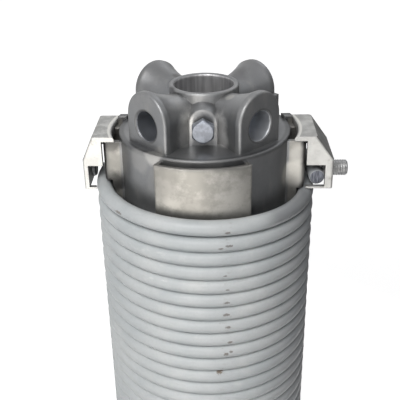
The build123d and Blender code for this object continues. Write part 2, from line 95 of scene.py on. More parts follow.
def wire_centre(turn):
    """Centre line of the wire in metres, at an angle run from the top end."""
    left = TURN_ANGLE - turn
    azimuth = END_AZIMUTH + turn
    if turn <= left:
        radius = end_radius(azimuth)
        height = TOP_LIFT + end_level(azimuth)
    else:
        mirrored = END_AZIMUTH + left
        radius = end_radius(mirrored)
        height = FIXED_ZERO - end_level(mirrored)
    angle = math.radians(azimuth)
    return Vector((radius * math.sin(angle), -radius * math.cos(angle), height)) * MM


def opaque(colour):
    """A written colour with its alpha, or a socket as it is."""
    return (*colour, 1.0) if isinstance(colour, tuple) else colour


class Tree:
    """Short words for building the nodes of a material or the world."""

    def __init__(self, owner):
        owner.use_nodes = True
        self.owner = owner
        self.nodes = owner.node_tree.nodes
        self.links = owner.node_tree.links

    def add(self, kind, **settings):
        node = self.nodes.new("ShaderNode" + kind)
        for key, value in settings.items():
            setattr(node, key, value)
        return node

    def put(self, socket, value):
        if isinstance(value, bpy.types.NodeSocket):
            self.links.new(value, socket)
        else:
            socket.default_value = value

    def maths(self, operation, first, second=0.5):
        node = self.add("Math", operation=operation)
        self.put(node.inputs[0], first)
        self.put(node.inputs[1], second)
        return node.outputs[0]

    def times(self, first, second):
        return self.maths("MULTIPLY", first, second)

    def plus(self, first, second):
        return self.maths("ADD", first, second)

    def minus(self, first, second):
        return self.maths("SUBTRACT", first, second)

    def larger(self, first, second):
        return self.maths("MAXIMUM", first, second)

    def ramp(self, value, low, high, start=0.0, end=1.0, kind="SMOOTHSTEP"):
        """From start to end while the value goes from low to high."""
        node = self.add("MapRange", interpolation_type=kind)
        for socket, item in zip(node.inputs[:5], (value, low, high, start, end)):
            self.put(socket, item)
        return node.outputs[0]

    def band(self, value, low, high, soft):
        """Mask of the values between two limits."""
        above = self.ramp(value, low - soft, low + soft)
        return self.times(above, self.ramp(value, high + soft, high - soft))

    def mix(self, share, first, second):
        """The first colour where the share is 0, the second where it is 1."""
        node = self.add("Mix", data_type="RGBA")
        self.put(node.inputs[0], share)
        self.put(node.inputs[6], opaque(first))
        self.put(node.inputs[7], opaque(second))
        return node.outputs[2]

    def cover(self, colour, mask, tint, strength=1.0):
        """The colour with a tint over it where the mask says."""
        share = mask if strength == 1.0 else self.times(mask, strength)
        return self.mix(share, colour, tint)

    def noise(self, where, scale, detail=4.0, rough=0.55):
        node = self.add("TexNoise")
        self.put(node.inputs["Vector"], where)
        self.put(node.inputs["Scale"], scale)
        self.put(node.inputs["Detail"], detail)
        self.put(node.inputs["Roughness"], rough)
        return node.outputs["Fac"]

    def object_place(self):
        return self.add("TexCoord").outputs["Object"]

    def attribute(self, name):
        return self.add("Attribute", attribute_name=name).outputs["Vector"]

    def split(self, vector):
        node = self.add("SeparateXYZ")
        self.put(node.inputs[0], vector)
        return node.outputs[:3]

    def stretched(self, where, scale):
        node = self.add("Mapping")
        self.put(node.inputs["Vector"], where)
        node.inputs["Scale"].default_value = scale
        return node.outputs[0]

    def distance(self, first, second):
        """Square root of the sum of two squares."""
        return self.maths("SQRT", self.plus(self.times(first, first), self.times(second, second)))

    def crevice(self, reach, open_share=0.75, closed_share=0.25):
        """Mask of what lies deep between nearby surfaces."""
        node = self.add("AmbientOcclusion", samples=6, only_local=False)
        node.inputs["Distance"].default_value = reach
        return self.ramp(node.outputs["AO"], open_share, closed_share)

    def steepness(self):
        """How far the face looks up or down: 0 for upright faces, 1 for level ones."""
        return self.maths("ABSOLUTE", self.split(self.add("NewGeometry").outputs["True Normal"])[2])

    def seen(self):
        """1 for what the camera sees by itself, in a reflection or through glass, else 0."""
        path = self.add("LightPath")
        either = self.larger(path.outputs["Is Camera Ray"], path.outputs["Is Glossy Ray"])
        return self.larger(either, path.outputs["Is Transmission Ray"])

    def bump(self, height, strength, distance, normal=None):
        node = self.add("Bump")
        node.inputs["Strength"].default_value = strength
        node.inputs["Distance"].default_value = distance
        self.put(node.inputs["Height"], height)
        if normal is not None:
            self.put(node.inputs["Normal"], normal)
        return node.outputs[0]

    def soft_edges(self, radius):
        """Normal rounded over outer edges only, and a mask of those edges."""
        bevel = self.add("Bevel", samples=6)
        bevel.inputs["Radius"].default_value = radius
        plain = self.add("NewGeometry").outputs["Normal"]
        dot = self.add("VectorMath", operation="DOT_PRODUCT")
        self.put(dot.inputs[0], bevel.outputs[0])
        self.put(dot.inputs[1], plain)
        outer = self.minus(1.0, self.crevice(1.5 * radius, 0.90, 0.70))
        node = self.add("Mix", data_type="VECTOR")
        self.put(node.inputs[0], outer)
        self.put(node.inputs[4], plain)
        self.put(node.inputs[5], bevel.outputs[0])
        return node.outputs[1], self.times(outer, self.ramp(dot.outputs["Value"], 0.995, 0.9))

    def finish(self, colour, rough, normal=None, metallic=0.0):
        """Join everything to the material's shader, and return the material."""
        surface = self.nodes["Principled BSDF"]
        self.put(surface.inputs["Base Color"], opaque(colour))
        self.put(surface.inputs["Roughness"], rough)
        self.put(surface.inputs["Metallic"], metallic)
        if normal is not None:
            self.put(surface.inputs["Normal"], normal)
        return self.owner

    def glow(self, strength):
        """White light given off by the material itself."""
        surface = self.nodes["Principled BSDF"]
        self.put(surface.inputs["Emission Color"], WHITE)
        self.put(surface.inputs["Emission Strength"], strength)


WHITE = (1.0, 1.0, 1.0, 1.0)


def material_tree(name):
    return Tree(bpy.data.materials.new(name))


# Chips in the paint: azimuth, level, half length, half height (mm) and share of brown
CHIPS = (
    (7.9, -68.3, 1.9, 1.5, 0.9),
    (11.0, -57.0, 1.2, 0.8, 0.3),
    (13.5, -56.0, 0.9, 0.6, 0.2),
    (13.0, -50.0, 1.3, 0.7, 0.4),
    (12.0, -41.0, 1.4, 0.6, 0.1),
    (11.0, -33.5, 1.5, 0.7, 0.2),
    (11.2, -26.6, 1.5, 0.6, 0.1),
    (11.6, -19.4, 0.8, 0.4, 0.1),
    (10.4, -11.6, 0.9, 0.4, 0.1),
    (12.4, 4.3, 1.6, 0.6, 0.1),
    (8.5, 3.2, 1.2, 0.5, 0.2),
    (11.8, 11.1, 1.4, 0.6, 0.1),
    (-46.5, 13.1, 2.4, 0.8, 0.2),
    (-41.0, 10.6, 1.6, 0.5, 0.1),
)

# Colours of the wire
PAINT_DEEP = (0.465, 0.497, 0.514)
PAINT_LIGHT = (0.545, 0.570, 0.582)
PAINT_DRIFT = (0.61, 0.625, 0.625)
PAINT_FINE = (0.32, 0.34, 0.36)
PAINT_SCUFF = (0.38, 0.39, 0.40)
PAINT_BLOOM = (0.68, 0.69, 0.69)
# Painted shade for the coils' right side, and a painted shadow for the first coil beside the head
PAINT_RIGHT_SHADE = (0.25, 0.26, 0.28)
PAINT_COIL_SHADOW = (0.15, 0.156, 0.166)
CHIP_HALO = (0.36, 0.355, 0.35)
CHIP_DARK = (0.15, 0.15, 0.155)
CHIP_LIGHT = (0.23, 0.215, 0.20)
CHIP_BROWN = (0.17, 0.115, 0.07)
CUT_DARK = (0.07, 0.075, 0.09)
CUT_LIGHT = (0.20, 0.21, 0.25)

# Where the wire gets painted shade on its right side and a painted shadow on its first coil, and where it
# is rubbed: azimuths in radians, levels in mm
RIGHT_SHADE_RISES = (0.3, 1.1)
RIGHT_SHADE_FADES = (3.0, 1.9)
COIL_SHADOW_AZIMUTHS = (0.6, 1.3)
COIL_SHADOW_LEVELS = (10.0, 14.9)
RUBBED_AZIMUTH = 0.20


def paint_colour(t, rest, strand, drift):
    """Clouded blue-grey paint with pale drifts, scuffs along the wire and pale bloom."""
    cloud = t.noise(rest, 28.0, 3.0)
    fine = t.noise(strand, 900.0, 3.0)
    colour = t.mix(t.ramp(cloud, 0.35, 0.65), PAINT_DEEP, PAINT_LIGHT)
    colour = t.cover(colour, t.ramp(drift, 0.52, 0.75, end=0.55), PAINT_DRIFT)
    colour = t.cover(colour, t.ramp(fine, 0.4, 0.8, end=0.12), PAINT_FINE)
    scuff = t.noise(t.stretched(strand, (0.12, 1.0, 1.0)), 520.0, 4.0, 0.7)
    scuffs = t.times(t.ramp(scuff, 0.60, 0.72), t.ramp(cloud, 0.45, 0.6, end=0.45))
    colour = t.cover(colour, scuffs, PAINT_SCUFF)
    bloom = t.noise(t.stretched(strand, (0.5, 1.0, 1.0)), 210.0, 5.0, 0.75)
    places = t.ramp(t.noise(rest, 12.0, 2.0), 0.50, 0.62, end=0.7)
    return t.cover(colour, t.times(t.ramp(bloom, 0.56, 0.70), places), PAINT_BLOOM)


def shaded_paint(t, colour, azimuth, height):
    """Painted shade on the right side, fading out towards the back, and a painted shadow on top of the
    first coil beside the head.
    """
    # painted shade: the coils' right side is darkened where less light falls
    right_shade = t.times(t.ramp(azimuth, *RIGHT_SHADE_RISES, end=0.58), t.ramp(azimuth, *RIGHT_SHADE_FADES))
    colour = t.cover(colour, right_shade, PAINT_RIGHT_SHADE)
    # painted shadow on top of the first coil, where the head shades it
    low, high = ((TOP_LIFT + level) * MM for level in COIL_SHADOW_LEVELS)
    coil_shadow = t.times(t.band(height, low, high, 0.0009), t.band(azimuth, *COIL_SHADOW_AZIMUTHS, 0.12))
    return t.cover(colour, coil_shadow, PAINT_COIL_SHADOW, 0.6)


def placed_chips(t, azimuth, height, ragged):
    """Mask of the chips in the list, and of the brown in them."""
    chips, brown = 0.0, 0.0
    for at_azimuth, at_level, length, tall, rust in CHIPS:
        around = t.times(t.minus(azimuth, math.radians(at_azimuth)), COIL_R / length)
        upright = t.times(t.minus(height, (TOP_LIFT + at_level) * MM), 1.0 / (tall * MM))
        mask = t.ramp(t.plus(t.distance(around, upright), ragged), 1.15, 0.75)
        chips = t.larger(chips, mask)
        brown = t.larger(brown, t.times(mask, rust))
    return chips, brown


def chipped_paint(t, colour, rest, strand, azimuth, height):
    """Chips in the list, down a rubbed line and here and there, with their mask."""
    wander = t.times(t.minus(t.noise(rest, 16.0, 2.0), 0.5), 0.10)
    off_line = t.maths("ABSOLUTE", t.minus(t.plus(azimuth, wander), RUBBED_AZIMUTH))
    line = t.ramp(off_line, 0.10, 0.02)
    spots = t.noise(t.stretched(strand, (0.55, 1.0, 1.0)), 620.0, 4.0, 0.62)
    ragged = t.times(t.minus(t.noise(strand, 1300.0, 4.0, 0.7), 0.5), 2.4)
    chips, brown = placed_chips(t, azimuth, height, ragged)
    chips = t.larger(chips, t.times(line, t.ramp(spots, 0.665, 0.70)))
    chips = t.larger(chips, t.ramp(t.noise(strand, 410.0, 3.0, 0.6), 0.765, 0.785))
    halo = t.times(line, t.ramp(spots, 0.50, 0.66, end=0.30))
    colour = t.cover(colour, halo, CHIP_HALO)
    steel = t.mix(t.noise(strand, 300.0), CHIP_DARK, CHIP_LIGHT)
    steel = t.cover(steel, brown, CHIP_BROWN)
    return t.cover(colour, chips, steel, 0.85), chips


def paint_material():
    """Satin blue-grey paint on the wire. The strand runs along the straightened wire."""
    t = material_tree("spring_paint")
    rest = t.attribute("rest")
    strand = t.attribute("strand")
    x, y, z = t.split(rest)
    azimuth = t.maths("ARCTAN2", x, t.times(y, -1.0))
    drift = t.noise(strand, 60.0, 5.0, 0.65)
    colour = paint_colour(t, rest, strand, drift)
    colour = shaded_paint(t, colour, azimuth, z)
    colour, chips = chipped_paint(t, colour, rest, strand, azimuth, z)
    normal = t.bump(t.noise(strand, 1500.0, 2.0), 0.10, 0.0002)
    normal = t.bump(chips, 0.5, -0.0002, normal)
    return t.finish(colour, t.ramp(drift, 0.3, 0.8, 0.42, 0.54), normal)


def cut_material():
    """Sheared end of the wire."""
    t = material_tree("wire_cut")
    grain = t.noise(t.stretched(t.object_place(), (5.0, 5.0, 0.6)), 420.0, 4.0)
    colour = t.mix(t.ramp(grain, 0.38, 0.62), CUT_DARK, CUT_LIGHT)
    return t.finish(colour, 0.5, t.bump(grain, 0.3, 0.0002), metallic=0.6)


# Lighter and darker painted patches on the winding head, nearly all painted light and shade: azimuth,
# radius, level and size (mm), colour, strength
LIGHT_AND_SHADE_PATCHES = (
    # painted light and shade of small dents in the necks beside the tube's rim, which are not built
    (36.0, 21.0, 62.3, 2.6, (0.40, 0.39, 0.37), 0.6),
    (50.0, 22.5, 62.0, 1.7, (0.07, 0.07, 0.07), 0.7),
    (-140.0, 20.0, 63.0, 3.2, (0.06, 0.06, 0.06), 0.7),
    # painted shade in the valley between the tube and the front-left neck
    (-62.0, 17.5, 60.5, 4.0, (0.04, 0.04, 0.045), 0.8),
    # painted shade on the back of the head
    (140.0, 22.0, 60.0, 8.0, (0.09, 0.09, 0.095), 0.55),
    (-135.0, 37.0, 56.0, 18.0, (0.12, 0.12, 0.12), 0.35),
    # painted light on the sides of the boss and in the valleys beside it
    (-27.0, 21.5, 49.5, 8.0, (0.60, 0.60, 0.59), 0.8),
    (28.0, 22.5, 49.5, 7.0, (0.72, 0.72, 0.72), 0.8),
    (26.0, 24.5, 44.0, 6.0, (0.72, 0.72, 0.72), 0.8),
    (-26.0, 24.0, 44.5, 6.0, (0.58, 0.58, 0.58), 0.75),
    # painted shade in the valley between the tube and the front-left neck
    (-52.0, 20.5, 60.0, 4.5, (0.07, 0.07, 0.07), 0.7),
    (-48.0, 24.0, 56.0, 6.0, (0.12, 0.12, 0.12), 0.5),
    # painted shade on the back right of the head
    (132.0, 36.0, 60.0, 12.0, (0.13, 0.13, 0.13), 0.3),
    # painted light on the left of the drum, standing for a reflection of the bright surround
    (-33.0, 42.0, 41.0, 5.0, (0.45, 0.445, 0.43), 0.75),
    (-45.0, 42.0, 36.0, 6.0, (0.33, 0.328, 0.32), 0.5),
    # painted highlight on the front of the right side pad
    (72.8, 48.0, 32.0, 5.0, (0.42, 0.41, 0.39), 0.6),
    (71.0, 46.0, 22.0, 7.0, (0.58, 0.565, 0.53), 0.6),
    # darker patches on the front pad
    (-24.0, 47.0, 30.0, 9.0, (0.19, 0.184, 0.172), 0.5),
    (-5.0, 47.0, 19.0, 8.0, (0.19, 0.184, 0.172), 0.5),
    # painted shadow at the top of the left side pad, under the clip's web
    (-72.0, 47.0, 38.5, 5.5, (0.04, 0.04, 0.04), 0.8),
    # painted shade on the front of the left side pad
    (-72.8, 48.0, 28.0, 8.0, (0.16, 0.158, 0.15), 0.6),
    # painted shade at the foot of the left side pad
    (-70.0, 47.0, 18.0, 6.0, (0.05, 0.05, 0.05), 0.7),
)

# Colours of the castings
CASTING_DEEP = (0.185, 0.190, 0.198)
CASTING_LIGHT = (0.238, 0.241, 0.245)
CASTING_FLOW = (0.30, 0.295, 0.285)
CASTING_GRAIN = (0.11, 0.11, 0.115)
PAD_DEEP = (0.22, 0.215, 0.20)
PAD_LIGHT = (0.31, 0.302, 0.283)
PAD_TOP = (0.14, 0.135, 0.13)
PAD_END_SHADE = (0.06, 0.06, 0.06)
RIM_SHADE = (0.07, 0.072, 0.075)
BORE_DEEP = (0.34, 0.34, 0.35)
BORE_LIGHT = (0.52, 0.52, 0.53)
SOCKET_LIGHT_LEFT = (0.35, 0.37, 0.41)
SOCKET_LIGHT_RIGHT = (0.74, 0.765, 0.81)
SOCKET_RIM_SHADE = (0.09, 0.092, 0.096)
CORNER_SHADE = (0.045, 0.046, 0.048)
RUBBED_EDGE_AND_HIGHLIGHT = (0.42, 0.41, 0.39)

# Where a mask on the castings rises, in metres: radii from the axis, levels and distances
PAD_RADII = (0.0430, 0.0436)
PAD_LEVELS = (0.0420, 0.0410)
PAD_TOP_LEVELS = (0.0369, 0.0388)
SIDE_PAD_ENDS = (0.0456, 0.0470)
RIM_RADII = (0.0390, 0.0405)
RIM_LEVELS = (0.0393, 0.0437)
BORE_RADII = (0.0147, 0.0145)
SOCKET_LEVEL = 0.0512
SOCKET_STARTS = (0.0185, 0.0188)
SOCKET_RADII = (0.00735, 0.00725)
SOCKET_MOUTHS = (0.0072, 0.0083)
HEAD_SIDES = (-0.02, 0.02)


def own_level(t, z):
    """Level of a point on either casting, in metres."""
    halfway = 0.5 * TOP_LIFT * MM
    upper = t.ramp(z, halfway, halfway + 0.001)
    from_fixed = t.minus(FIXED_ZERO * MM, z)
    from_winding = t.minus(z, TOP_LIFT * MM)
    return t.ramp(upper, 0.0, 1.0, from_fixed, from_winding, "LINEAR")


def socket_masks(t, x, y, z):
    """Inside and mouth of the four bar sockets, which lie on the diagonals of the winding head."""
    half = math.sqrt(0.5)
    right, back = (t.maths("ABSOLUTE", item) for item in (x, y))
    along = t.times(t.plus(right, back), half)
    across = t.times(t.minus(right, back), half)
    above = t.minus(z, TOP_LIFT * MM + SOCKET_LEVEL)
    around = t.distance(across, above)
    outside = t.ramp(along, *SOCKET_STARTS)
    inside = t.times(outside, t.ramp(around, *SOCKET_RADII))
    mouth = t.times(outside, t.band(around, *SOCKET_MOUTHS, 0.0003))
    return inside, mouth


def painted_mark(t, where, ragged, mark, colour):
    """Lighter or darker painted patch with a ragged outline, mostly painted light or shade."""
    azimuth, radius, level, size, tint, strength = mark
    angle = math.radians(azimuth)
    middle = Vector((radius * math.sin(angle), -radius * math.cos(angle), TOP_LIFT + level)) * MM
    gap = t.add("VectorMath", operation="DISTANCE")
    t.put(gap.inputs[0], where)
    t.put(gap.inputs[1], middle)
    share = t.plus(t.times(gap.outputs["Value"], 1.0 / (size * MM)), ragged)
    return t.cover(colour, t.ramp(share, 1.75, 1.15, end=strength), tint)


def pad_colour(t, x, level, stain):
    """Rubbed brownish metal of the pads, darker at their tops, with painted shade on the ends of the side
    pads beside the clips.
    """
    colour = t.mix(t.ramp(stain, 0.42, 0.62), PAD_DEEP, PAD_LIGHT)
    colour = t.cover(colour, t.ramp(level, *PAD_TOP_LEVELS, end=0.45), PAD_TOP)
    # painted shade on the side pads' ends, where the clips' flanks shade them
    return t.cover(colour, t.ramp(t.maths("ABSOLUTE", x), *SIDE_PAD_ENDS, end=0.80), PAD_END_SHADE)


def casting_colour(t, where, flow, grain):
    """Grey metal with its flow clouds and pads, painted shade on the drum's top rim, and patches of painted
    light and shade.
    """
    x, y, z = t.split(where)
    radius = t.distance(x, y)
    level = own_level(t, z)
    stain = t.noise(where, 75.0, 5.0, 0.7)
    colour = t.mix(t.ramp(t.noise(where, 45.0, 4.0), 0.3, 0.7), CASTING_DEEP, CASTING_LIGHT)
    colour = t.cover(colour, t.ramp(flow, 0.50, 0.75, end=0.45), CASTING_FLOW)
    colour = t.cover(colour, t.ramp(grain, 0.55, 0.75, end=0.30), CASTING_GRAIN)
    # painted shade on the drum's top rim and ledge
    rim = t.times(t.ramp(radius, *RIM_RADII), t.band(level, *RIM_LEVELS, 0.0007))
    colour = t.cover(colour, rim, RIM_SHADE, 0.55)
    pads = t.times(t.ramp(radius, *PAD_RADII), t.ramp(level, *PAD_LEVELS))
    colour = t.cover(colour, pads, pad_colour(t, x, level, stain))
    # painted light and shade, and a few darker patches, over the castings
    for mark in LIGHT_AND_SHADE_PATCHES:
        colour = painted_mark(t, where, stain, mark, colour)
    return colour


def machined_colour(t, colour, where, inside):
    """Streaked metal in the bore, and smooth metal in the bar sockets lightened with painted light, much
    brighter on the right side.
    """
    x, y, _ = t.split(where)
    streak = t.noise(t.stretched(where, (1.0, 1.0, 0.06)), 330.0, 4.0, 0.6)
    bore = t.mix(t.ramp(streak, 0.40, 0.65), BORE_DEEP, BORE_LIGHT)
    colour = t.cover(colour, t.ramp(t.distance(x, y), *BORE_RADII), bore)
    # painted light inside the bar sockets, brighter on the right, where their insides catch the light
    return t.cover(colour, inside, t.mix(t.ramp(x, *HEAD_SIDES), SOCKET_LIGHT_LEFT, SOCKET_LIGHT_RIGHT))


def casting_material():
    """Grey die casting: fine grain, flow clouds, stained pads, rubbed edges lightened also as a painted
    highlight, painted shade in the corners.
    """
    t = material_tree("head_casting")
    where = t.object_place()
    normal, edges = t.soft_edges(0.0016)
    flow = t.noise(t.stretched(where, (1.0, 1.0, 0.35)), 130.0, 5.0, 0.65)
    grain = t.noise(where, 1400.0, 3.0, 0.6)
    inside, mouth = socket_masks(t, *t.split(where))
    colour = casting_colour(t, where, flow, grain)
    colour = machined_colour(t, colour, where, inside)
    # painted shade in corners and creases, from the occlusion mask
    colour = t.cover(colour, t.crevice(0.006, 0.92, 0.40), CORNER_SHADE, 0.28)
    # outer edges lightened: rubbed metal, and a painted highlight along them
    colour = t.cover(colour, edges, RUBBED_EDGE_AND_HIGHLIGHT, 0.20)
    # painted shade over the sockets' rims, which dulls their highlight
    colour = t.cover(colour, mouth, SOCKET_RIM_SHADE, 0.7)
    rough = t.plus(t.ramp(flow, 0.3, 0.8, 0.38, 0.50), t.times(edges, 0.15))
    normal = t.bump(grain, 0.16, 0.0002, normal)
    normal = t.bump(flow, 0.10, 0.0006, normal)
    return t.finish(colour, rough, normal, metallic=0.85)


# Colours of the clips
ZINC_DEEP = (0.44, 0.44, 0.43)
ZINC_LIGHT = (0.60, 0.60, 0.585)
ZINC_STAIN = (0.30, 0.29, 0.27)
ZINC_RIGHT_SHADE = (0.18, 0.18, 0.18)
ZINC_GRAIN = (0.40, 0.40, 0.40)
SLOPE_SHADE_DEEP = (0.09, 0.09, 0.09)
SLOPE_SHADE_LIGHT = (0.20, 0.20, 0.195)
WEB_SMUDGE = (0.27, 0.27, 0.265)
WEB_LIP_HIGHLIGHT = (0.74, 0.73, 0.69)
ZINC_CREVICE_SHADE = (0.10, 0.10, 0.10)
ZINC_EDGE = (0.22, 0.22, 0.22)

# How far the clips' slopes and webs look up, and the radii of the web's painted highlight along its lip in
# metres
SLOPE_STEEPNESS = (0.34, 0.65)
WEB_STEEPNESS = (0.90, 0.97)
LIP_RADII = (0.0464, 0.0478)


def zinc_colour(t, where, cloud, grain, stain, dulled_and_shaded):
    """Bright plating with dull stains and darker smudges on the webs, painted shade on the right side and
    on the slopes, and a painted highlight along the webs' lip.
    """
    x, y, _ = t.split(where)
    colour = t.mix(t.ramp(cloud, 0.35, 0.65), ZINC_DEEP, ZINC_LIGHT)
    colour = t.cover(colour, t.ramp(stain, 0.57, 0.70, end=0.6), ZINC_STAIN)
    # painted shade on the clip on the right side
    colour = t.cover(colour, t.ramp(x, -MM, MM, end=0.12), ZINC_RIGHT_SHADE)
    colour = t.cover(colour, t.ramp(grain, 0.5, 0.8, end=0.2), ZINC_GRAIN)
    streak = t.noise(t.stretched(where, (1.0, 1.0, 0.3)), 240.0, 5.0, 0.6)
    # painted shade, with streaks, on the sloped walls of the clips
    colour = t.cover(colour, dulled_and_shaded, t.mix(t.ramp(streak, 0.35, 0.68), SLOPE_SHADE_DEEP, SLOPE_SHADE_LIGHT), 0.85)
    web = t.ramp(t.steepness(), *WEB_STEEPNESS)
    smudge = t.times(t.ramp(stain, 0.42, 0.58, 0.20, 0.75), t.ramp(x, -MM, MM, 1.0, 0.6))
    colour = t.cover(colour, t.times(web, smudge), WEB_SMUDGE)
    # painted highlight along the web's inner lip
    lip_highlight = t.times(web, t.band(t.distance(x, y), *LIP_RADII, 0.0002))
    return t.cover(colour, lip_highlight, WEB_LIP_HIGHLIGHT, 0.8)


def zinc_material():
    """Bright zinc plating on bent sheet."""
    t = material_tree("clip_steel")
    where = t.object_place()
    normal, edges = t.soft_edges(0.0005)
    cloud = t.noise(where, 90.0, 4.0, 0.6)
    grain = t.noise(t.stretched(where, (1.0, 1.0, 0.2)), 1100.0, 3.0)
    stain = t.noise(where, 160.0, 5.0, 0.7)
    slopes = t.band(t.steepness(), *SLOPE_STEEPNESS, 0.03)
    # mask of the sloped walls, stronger on the right: painted shade in the colour, and duller roughness
    dulled_and_shaded = t.times(slopes, t.ramp(t.split(where)[0], -MM, MM, 0.7, 1.0))
    colour = zinc_colour(t, where, cloud, grain, stain, dulled_and_shaded)
    # painted shade in the clips' crevices, from the occlusion mask
    colour = t.cover(colour, t.crevice(0.012), ZINC_CREVICE_SHADE, 0.65)
    colour = t.cover(colour, edges, ZINC_EDGE, 0.30)
    rough = t.plus(t.ramp(cloud, 0.3, 0.7, 0.40, 0.52), t.times(dulled_and_shaded, 0.25))
    normal = t.bump(grain, 0.12, 0.0002, normal)
    normal = t.bump(stain, 0.10, 0.0004, normal)
    return t.finish(colour, rough, normal, metallic=0.6)


# Dark and light colours of the set screws and the clamp screws, and of the screws' edges
SET_SCREW_TINTS = ((0.15, 0.16, 0.185), (0.27, 0.29, 0.33))
CLAMP_SCREW_TINTS = ((0.18, 0.182, 0.185), (0.33, 0.332, 0.336))
SCREW_EDGE = (0.50, 0.52, 0.56)


def screw_material(name, tints):
    """Plated steel of a screw."""
    t = material_tree(name)
    where = t.object_place()
    normal, edges = t.soft_edges(0.0004)
    cloud = t.noise(where, 260.0, 4.0, 0.6)
    grain = t.noise(where, 1800.0, 3.0)
    dark, light = tints
    colour = t.mix(t.ramp(cloud, 0.36, 0.64), dark, light)
    colour = t.cover(colour, t.ramp(grain, 0.55, 0.8, end=0.3), dark)
    colour = t.cover(colour, edges, SCREW_EDGE, 0.4)
    rough = t.ramp(cloud, 0.3, 0.7, 0.34, 0.48)
    return t.finish(colour, rough, t.bump(grain, 0.12, 0.0002, normal), metallic=0.8)


NYLON_DEEP = (0.62, 0.60, 0.53)
NYLON_LIGHT = (0.70, 0.68, 0.61)


def bush_material():
    """Natural nylon with turning marks."""
    t = material_tree("bush_plastic")
    where = t.object_place()
    rings = t.noise(t.stretched(where, (0.15, 0.15, 1.0)), 900.0, 3.0)
    colour = t.mix(t.ramp(t.noise(where, 60.0, 3.0), 0.3, 0.7), NYLON_DEEP, NYLON_LIGHT)
    return t.finish(colour, 0.48, t.bump(rings, 0.15, 0.0002))


def dress_nodes(materials):
    """Procedural material on every CAD node, by its record slot."""
    slots = {part["node"]: part["material_slot"] for part in frame["record"]["subparts"]}
    for name, obj in frame["nodes"].items():
        obj.data.materials.clear()
        obj.data.materials.append(materials[slots[name]])


def new_object(name, data):
    obj = bpy.data.objects.new(name, data)
    bpy.context.scene.collection.objects.link(obj)
    return obj


def new_piece(name, vertices, faces, material):
    mesh = bpy.data.meshes.new(name)
    mesh.from_pydata(vertices, [], faces)
    mesh.update()
    mesh.shade_smooth()
    mesh.materials.append(material)
    return new_object(name, mesh)


def tube_faces(rings, sides):
    """Faces of a tube of rings of vertices, and its two end caps as the last two faces."""
    faces = []
    for ring in range(rings - 1):
        for side in range(sides):
            a = ring * sides + side
            b = ring * sides + (side + 1) % sides
            faces.append((a, b, b + sides, a + sides))
    last = (rings - 1) * sides
    faces.append(tuple(reversed(range(sides))))
    faces.append(tuple(range(last, last + sides)))
    return faces


# Mesh of the wire: sides of the tube, degrees between rings, bevel at the cut ends (mm)
WIRE_SIDES = 18
RING_STEP = 5.0
CUT_BEVEL = 0.35


def wire_steps():
    """Centre, tangent, outward and upward directions along the wire, and the length run so far."""
    turns = [RING_STEP * k for k in range(int(TURN_ANGLE / RING_STEP) + 1)]
    if turns[-1] < TURN_ANGLE:
        turns.append(TURN_ANGLE)
    centres = [wire_centre(turn) for turn in turns]
    last = len(centres) - 1
    along = 0.0
    steps = []
    for k, centre in enumerate(centres):
        if k:
            along += (centre - centres[k - 1]).length
        tangent = (centres[min(k + 1, last)] - centres[max(k - 1, 0)]).normalized()
        outward = Vector((centre.x, centre.y, 0.0))
        outward = (outward - tangent * outward.dot(tangent)).normalized()
        steps.append((centre, tangent, outward, outward.cross(tangent), along))
    return steps


def ring_shapes(step, last):
    """Shift along the wire and radius (mm) of a step's rings: two at a cut end, for its bevel."""
    if step == 0:
        return [(0.0, WIRE_R - CUT_BEVEL), (CUT_BEVEL, WIRE_R)]
    if step == last:
        return [(-CUT_BEVEL, WIRE_R), (0.0, WIRE_R - CUT_BEVEL)]
    return [(0.0, WIRE_R)]


def wire_points():
    """Vertices of the wire, and their places on the straightened wire."""
    steps = wire_steps()
    vertices, strand = [], []
    for step, (centre, tangent, outward, upward, along) in enumerate(steps):
        for shift, radius in ring_shapes(step, len(steps) - 1):
            for side in range(WIRE_SIDES):
                angle = 2.0 * math.pi * side / WIRE_SIDES
                right, up = math.cos(angle), math.sin(angle)
                off = (outward * right + upward * up) * radius * MM
                vertices.append(centre + tangent * shift * MM + off)
                strand.append((along + shift * MM, right * WIRE_R * MM, up * WIRE_R * MM))
    return vertices, strand


def store_vectors(mesh, name, vectors):
    attribute = mesh.attributes.new(name, "FLOAT_VECTOR", "POINT")
    attribute.data.foreach_set("vector", np.array([tuple(v) for v in vectors], np.float32).ravel())


def spring_wire(paint, cut):
    """The whole wire as one tube on the source's centre line."""
    vertices, strand = wire_points()
    faces = tube_faces(len(vertices) // WIRE_SIDES, WIRE_SIDES)
    obj = new_piece("spring_wire", vertices, faces, paint)
    mesh = obj.data
    mesh.materials.append(cut)
    for cap in (len(faces) - 2, len(faces) - 1):
        mesh.polygons[cap].material_index = 1
        mesh.polygons[cap].use_smooth = False
    store_vectors(mesh, "rest", vertices)
    store_vectors(mesh, "strand", strand)
    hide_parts("torsion_spring")
    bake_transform(obj)


# Clamp screws, in mm: M8 threads and a hexagon socket
SCREW_R = 4.0
THREAD_PITCH = 1.25
THREAD_DEPTH = 0.20
THREAD_ROWS = 10
SCREW_SIDES = 48
SCREW_CHAMFER = 0.8
SCREW_FLAT_R = SCREW_R - SCREW_CHAMFER
SOCKET_AF = 4.0
SOCKET_DEPTH = 2.2
SEAT_GAP = 0.15
SCREW_AZIMUTHS = {"left": -90.0, "right": 90.0}
SCREW_OUT_R = {"left": 59.5, "right": 71.6}
SHARP_ANGLE = 32.0


def screw_tip(side):
    """Radius at which a clamp screw meets the wire."""
    if side == "left":
        return COIL_R + WIRE_R + SEAT_GAP
    slant = math.radians(TAIL_AZIMUTH - SCREW_AZIMUTHS[side])
    return (TAIL_R + WIRE_R + SCREW_FLAT_R * math.sin(slant)) / math.cos(slant) + SEAT_GAP


